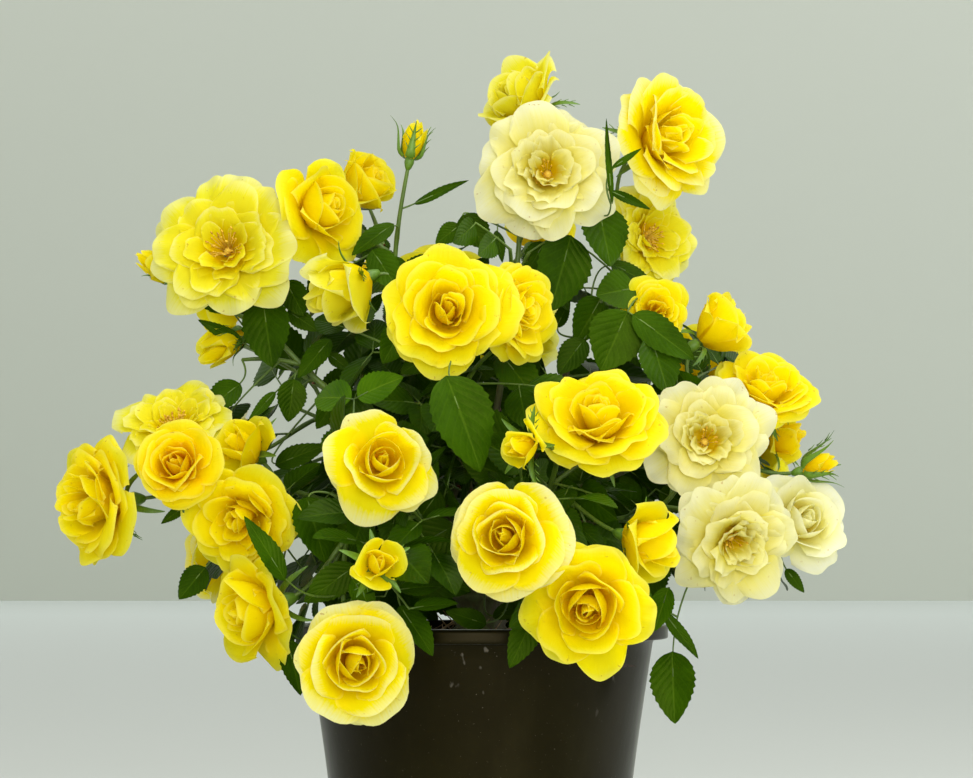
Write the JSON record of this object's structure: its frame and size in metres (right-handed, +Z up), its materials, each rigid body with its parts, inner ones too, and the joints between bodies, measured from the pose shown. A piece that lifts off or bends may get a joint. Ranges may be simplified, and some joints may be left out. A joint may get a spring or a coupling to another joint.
{
  "type": "potted rose bush",
  "caption": "Bushy patio rose with double yellow flowers, buds and dark green leaves on branching canes, standing in a round dark plastic nursery pot.",
  "frame": {"origin": "centre of the pot's flat underside, on the surface it stands on", "axes": "+Z up along the pot's axis; -Y towards the front, where the fullest flowers face; +X to the right seen from the front"},
  "size_m": [0.4588, 0.4121, 0.5596],
  "materials": {
    "pot_plastic": "satin",
    "potting_mix": "matte",
    "bark": "satin",
    "foliage": "satin",
    "petals": "matte",
    "pale_petals": "matte"
  },
  "bodies": {
    "root": {"pot": "pot_plastic", "soil": "potting_mix", "stem": "bark", "right_upper_cane": "bark", "right_upper_spray": "foliage", "back_right_cane": "bark", "back_right_spray": "foliage", "back_middle_cane": "bark", "back_middle_spray": "foliage", "back_left_cane": "bark", "back_left_spray": "foliage", "left_upper_cane": "bark", "left_upper_spray": "foliage", "left_cane": "bark", "left_spray": "foliage", "centre_left_cane": "bark", "centre_left_spray": "foliage", "centre_right_cane": "bark", "centre_right_spray": "foliage", "right_cream_cane": "bark", "right_cream_spray": "foliage", "top_cane": "bark", "top_spray": "foliage", "top_right_cane": "bark", "top_right_spray": "foliage", "centre_cane": "bark", "centre_spray": "foliage", "upper_left_cane": "bark", "upper_left_spray": "foliage", "lower_left_cane": "bark", "lower_left_spray": "foliage", "lower_front_cane": "bark", "lower_front_spray": "foliage", "back_top_cane": "bark", "back_top_spray": "foliage", "back_low_right_cane": "bark", "back_low_right_spray": "foliage", "back_low_left_cane": "bark", "back_low_left_spray": "foliage"}
  },
  "joints": []
}
